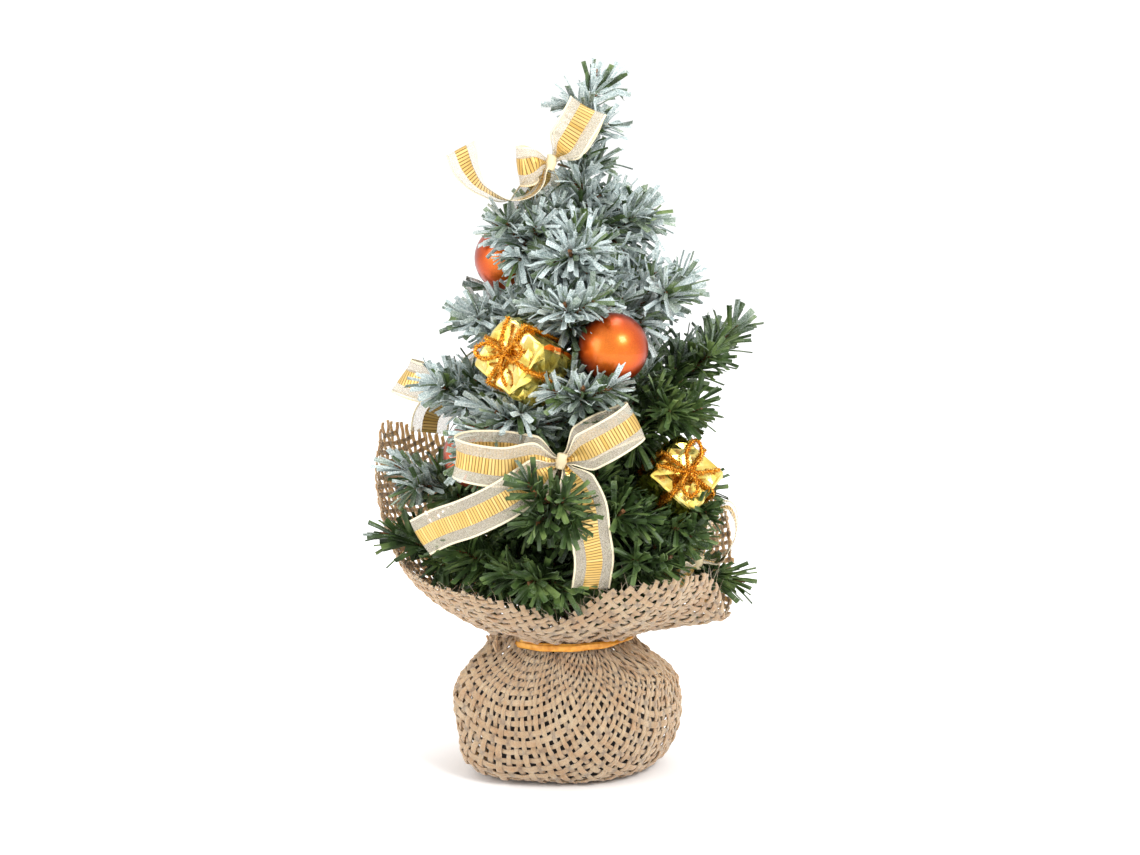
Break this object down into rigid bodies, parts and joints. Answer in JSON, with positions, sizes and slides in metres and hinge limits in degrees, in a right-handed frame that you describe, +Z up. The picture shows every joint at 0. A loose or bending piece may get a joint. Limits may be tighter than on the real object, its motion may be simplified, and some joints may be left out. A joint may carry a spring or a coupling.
{
  "type": "artificial tabletop tree",
  "caption": "Miniature artificial fir tree with bendable wire branches, baubles, wrapped boxes and ribbon bows, standing in a weighted cup gathered in burlap.",
  "frame": {"origin": "on the trunk's line, on the surface that the burlap's flat underside rests on", "axes": "+Z up along the trunk, -Y towards the front, +X to the right"},
  "size_m": [0.1068, 0.0895, 0.2002],
  "materials": {
    "cup_plastic": "black moulded polypropylene, satin",
    "cement": "cast cement, dull and grainy",
    "burlap": "plain-woven natural jute, open weave, matt",
    "rubber_band": "amber gum rubber, slightly see-through",
    "paper_wire": "steel wire with an ochre lacquer",
    "pvc_needles": "dark green PVC strip, satin",
    "frosted_needles": "green PVC strip sprayed with pale blue-grey frost",
    "pearl_orange": "satin pearl lacquer",
    "foam": "white bead foam",
    "gold_foil": "crinkled mirror-bright gold film",
    "gold_tinsel": "metallised orange-gold braid, glittering",
    "organza_ribbon": "sheer cream organza with a gold lurex stripe"
  },
  "bodies": {
    "base": {"base_cup": "cup_plastic", "cement_weight": "cement", "burlap_wrap": "burlap", "rubber_band": "rubber_band", "trunk_wire": "paper_wire"},
    "leader_shoot": {"bow_top_ribbon": "organza_ribbon", "bow_top_tie": "paper_wire", "leader": "frosted_needles"},
    "crown_back_branch": {"branch_crown_back": "frosted_needles"},
    "crown_front_branch": {"branch_crown_front": "frosted_needles"},
    "crown_left_branch": {"ball_left": "pearl_orange", "ball_left_pick": "paper_wire", "branch_crown_left": "frosted_needles"},
    "crown_right_branch": {"branch_crown_right": "frosted_needles"},
    "lower_back_left_branch": {"branch_lower_back_left": "pvc_needles"},
    "lower_back_right_branch": {"branch_lower_back_right": "pvc_needles"},
    "lower_front_branch": {"bow_front_ribbon": "organza_ribbon", "bow_front_tie": "paper_wire", "branch_lower_front": "pvc_needles"},
    "lower_front_right_branch": {"branch_lower_front_right": "pvc_needles"},
    "lower_left_branch": {"branch_lower_left": "pvc_needles"},
    "lower_right_branch": {"branch_lower_right": "pvc_needles", "gift_right_cord": "gold_tinsel", "gift_right_foam": "foam", "gift_right_foil": "gold_foil", "gift_right_pick": "paper_wire"},
    "middle_back_left_branch": {"branch_middle_back_left": "frosted_needles"},
    "middle_back_right_branch": {"branch_middle_back_right": "frosted_needles"},
    "middle_front_branch": {"branch_middle_front": "frosted_needles", "gift_front_cord": "gold_tinsel", "gift_front_foam": "foam", "gift_front_foil": "gold_foil", "gift_front_pick": "paper_wire"},
    "middle_front_left_branch": {"ball_low_left": "pearl_orange", "ball_low_left_pick": "paper_wire", "branch_middle_front_left": "frosted_needles"},
    "middle_left_branch": {"bow_left_ribbon": "organza_ribbon", "bow_left_tie": "paper_wire", "branch_middle_left": "frosted_needles"},
    "middle_right_branch": {"ball_back_right": "pearl_orange", "ball_back_right_pick": "paper_wire", "branch_middle_right": "frosted_needles"},
    "middle_right_front_branch": {"branch_middle_right_front": "frosted_needles"},
    "skirt_back_branch": {"branch_skirt_back": "pvc_needles"},
    "skirt_back_right_branch": {"branch_skirt_back_right": "pvc_needles"},
    "skirt_front_branch": {"branch_skirt_front": "pvc_needles"},
    "skirt_front_left_branch": {"branch_skirt_front_left": "pvc_needles"},
    "skirt_front_right_branch": {"branch_skirt_front_right": "pvc_needles"},
    "skirt_left_branch": {"branch_skirt_left": "pvc_needles"},
    "skirt_right_branch": {"bow_right_ribbon": "organza_ribbon", "bow_right_tie": "paper_wire", "branch_skirt_right": "pvc_needles"},
    "skirt_right_low_branch": {"branch_skirt_right_low": "pvc_needles"},
    "upper_back_left_branch": {"branch_upper_back_left": "frosted_needles"},
    "upper_back_right_branch": {"branch_upper_back_right": "frosted_needles"},
    "upper_front_branch": {"ball_front": "pearl_orange", "ball_front_pick": "paper_wire", "branch_upper_front": "frosted_needles"},
    "upper_left_branch": {"branch_upper_left": "frosted_needles"},
    "upper_right_branch": {"branch_upper_right": "frosted_needles"}
  },
  "joints": [
    {"name": "bend_leader", "type": "hinge", "parent": "base", "child": "leader_shoot", "pos_m": [0.0035, 0, 0.15735], "axis": [0, 1, 0], "range_deg": [-5, 20]},
    {"name": "bend_crown_back", "type": "hinge", "parent": "base", "child": "crown_back_branch", "pos_m": [0.00285, 0.00174, 0.14761], "axis": [0.9903, 0.1392, 0], "range_deg": [-14, 20]},
    {"name": "bend_crown_front", "type": "hinge", "parent": "base", "child": "crown_front_branch", "pos_m": [0.0028, -0.00176, 0.14501], "axis": [-0.9945, 0.1045, 0], "range_deg": [-14, 20]},
    {"name": "bend_crown_left", "type": "hinge", "parent": "base", "child": "crown_left_branch", "pos_m": [0.00146, -0.00054, 0.14842], "axis": [-0.309, 0.9511, 0], "range_deg": [-14, 5]},
    {"name": "bend_crown_right", "type": "hinge", "parent": "base", "child": "crown_right_branch", "pos_m": [0.00497, 0.00042, 0.15233], "axis": [0.2419, -0.9703, 0], "range_deg": [-14, 20]},
    {"name": "bend_lower_back_left", "type": "hinge", "parent": "base", "child": "lower_back_left_branch", "pos_m": [-0.00098, 0.00159, 0.07244], "axis": [0.7193, 0.6947, 0], "range_deg": [-14, 15]},
    {"name": "bend_lower_back_right", "type": "hinge", "parent": "base", "child": "lower_back_right_branch", "pos_m": [0.00187, 0.00175, 0.07033], "axis": [0.788, -0.6157, 0], "range_deg": [-14, 19]},
    {"name": "bend_lower_front", "type": "hinge", "parent": "base", "child": "lower_front_branch", "pos_m": [0.00028, -0.00218, 0.07358], "axis": [-0.9903, 0.1392, 0], "range_deg": [-8, 5]},
    {"name": "bend_lower_front_right", "type": "hinge", "parent": "base", "child": "lower_front_right_branch", "pos_m": [0.00133, -0.00206, 0.07], "axis": [-0.9272, -0.3746, 0], "range_deg": [-14, 19]},
    {"name": "bend_lower_left", "type": "hinge", "parent": "base", "child": "lower_left_branch", "pos_m": [-0.00169, 0.00008, 0.07098], "axis": [0.0349, 0.9994, 0], "range_deg": [-13, 20]},
    {"name": "bend_lower_right", "type": "hinge", "parent": "base", "child": "lower_right_branch", "pos_m": [0.00276, 0.00023, 0.07293], "axis": [0.1045, -0.9945, 0], "range_deg": [-5, 5]},
    {"name": "bend_middle_back_left", "type": "hinge", "parent": "base", "child": "middle_back_left_branch", "pos_m": [-0.00015, 0.00153, 0.09701], "axis": [0.7431, 0.6691, 0], "range_deg": [-3, 20]},
    {"name": "bend_middle_back_right", "type": "hinge", "parent": "base", "child": "middle_back_right_branch", "pos_m": [0.00108, 0.00207, 0.09441], "axis": [0.9994, 0.0349, 0], "range_deg": [-14, 20]},
    {"name": "bend_middle_front", "type": "hinge", "parent": "base", "child": "middle_front_branch", "pos_m": [0.00139, -0.00205, 0.09734], "axis": [-0.9976, -0.0698, 0], "range_deg": [-7, 1]},
    {"name": "bend_middle_front_left", "type": "hinge", "parent": "base", "child": "middle_front_left_branch", "pos_m": [-0.00014, -0.00164, 0.09392], "axis": [-0.788, 0.6157, 0], "range_deg": [-14, 5]},
    {"name": "bend_middle_left", "type": "hinge", "parent": "base", "child": "middle_left_branch", "pos_m": [-0.0008, -0.00014, 0.09766], "axis": [-0.0698, 0.9976, 0], "range_deg": [-9, 3]},
    {"name": "bend_middle_right", "type": "hinge", "parent": "base", "child": "middle_right_branch", "pos_m": [0.00332, 0.00028, 0.09896], "axis": [0.1392, -0.9903, 0], "range_deg": [-14, 19]},
    {"name": "bend_middle_right_front", "type": "hinge", "parent": "base", "child": "middle_right_front_branch", "pos_m": [0.00303, -0.00085, 0.09359], "axis": [-0.4067, -0.9135, 0], "range_deg": [-5, 20]},
    {"name": "bend_skirt_back", "type": "hinge", "parent": "base", "child": "skirt_back_branch", "pos_m": [-0.00005, 0.0023, 0.05438], "axis": [0.9945, 0.1045, 0], "range_deg": [-1, 20]},
    {"name": "bend_skirt_back_right", "type": "hinge", "parent": "base", "child": "skirt_back_right_branch", "pos_m": [0.00211, 0.00135, 0.05796], "axis": [0.5878, -0.809, 0], "range_deg": [-13, 17]},
    {"name": "bend_skirt_front", "type": "hinge", "parent": "base", "child": "skirt_front_branch", "pos_m": [-0.0004, -0.00221, 0.05699], "axis": [-0.9613, 0.2756, 0], "range_deg": [-13, 20]},
    {"name": "bend_skirt_front_left", "type": "hinge", "parent": "base", "child": "skirt_front_left_branch", "pos_m": [-0.00158, -0.00149, 0.05438], "axis": [-0.6428, 0.766, 0], "range_deg": [-8, 20]},
    {"name": "bend_skirt_front_right", "type": "hinge", "parent": "base", "child": "skirt_front_right_branch", "pos_m": [0.00171, -0.00175, 0.05438], "axis": [-0.7547, -0.6561, 0], "range_deg": [-5, 20]},
    {"name": "bend_skirt_left", "type": "hinge", "parent": "base", "child": "skirt_left_branch", "pos_m": [-0.00203, -0.0004, 0.05699], "axis": [-0.1736, 0.9848, 0], "range_deg": [-3, 20]},
    {"name": "bend_skirt_right", "type": "hinge", "parent": "base", "child": "skirt_right_branch", "pos_m": [0.00249, -0.00063, 0.0604], "axis": [-0.2756, -0.9613, 0], "range_deg": [-3, 3]},
    {"name": "bend_skirt_right_low", "type": "hinge", "parent": "base", "child": "skirt_right_low_branch", "pos_m": [0.00249, -0.00012, 0.05357], "axis": [-0.0523, -0.9986, 0], "range_deg": [-7, 3]},
    {"name": "bend_upper_back_left", "type": "hinge", "parent": "base", "child": "upper_back_left_branch", "pos_m": [0.00095, 0.00145, 0.12434], "axis": [0.766, 0.6428, 0], "range_deg": [-14, 15]},
    {"name": "bend_upper_back_right", "type": "hinge", "parent": "base", "child": "upper_back_right_branch", "pos_m": [0.00332, 0.00142, 0.12093], "axis": [0.7431, -0.6691, 0], "range_deg": [-14, 20]},
    {"name": "bend_upper_front", "type": "hinge", "parent": "base", "child": "upper_front_branch", "pos_m": [0.0019, -0.0019, 0.12239], "axis": [-0.9945, 0.1045, 0], "range_deg": [-3, 15]},
    {"name": "bend_upper_left", "type": "hinge", "parent": "base", "child": "upper_left_branch", "pos_m": [0.00019, -0.0002, 0.12207], "axis": [-0.1045, 0.9945, 0], "range_deg": [-14, 20]},
    {"name": "bend_upper_right", "type": "hinge", "parent": "base", "child": "upper_right_branch", "pos_m": [0.00411, -0.00026, 0.12646], "axis": [-0.1392, -0.9903, 0], "range_deg": [-14, 17]}
  ]
}
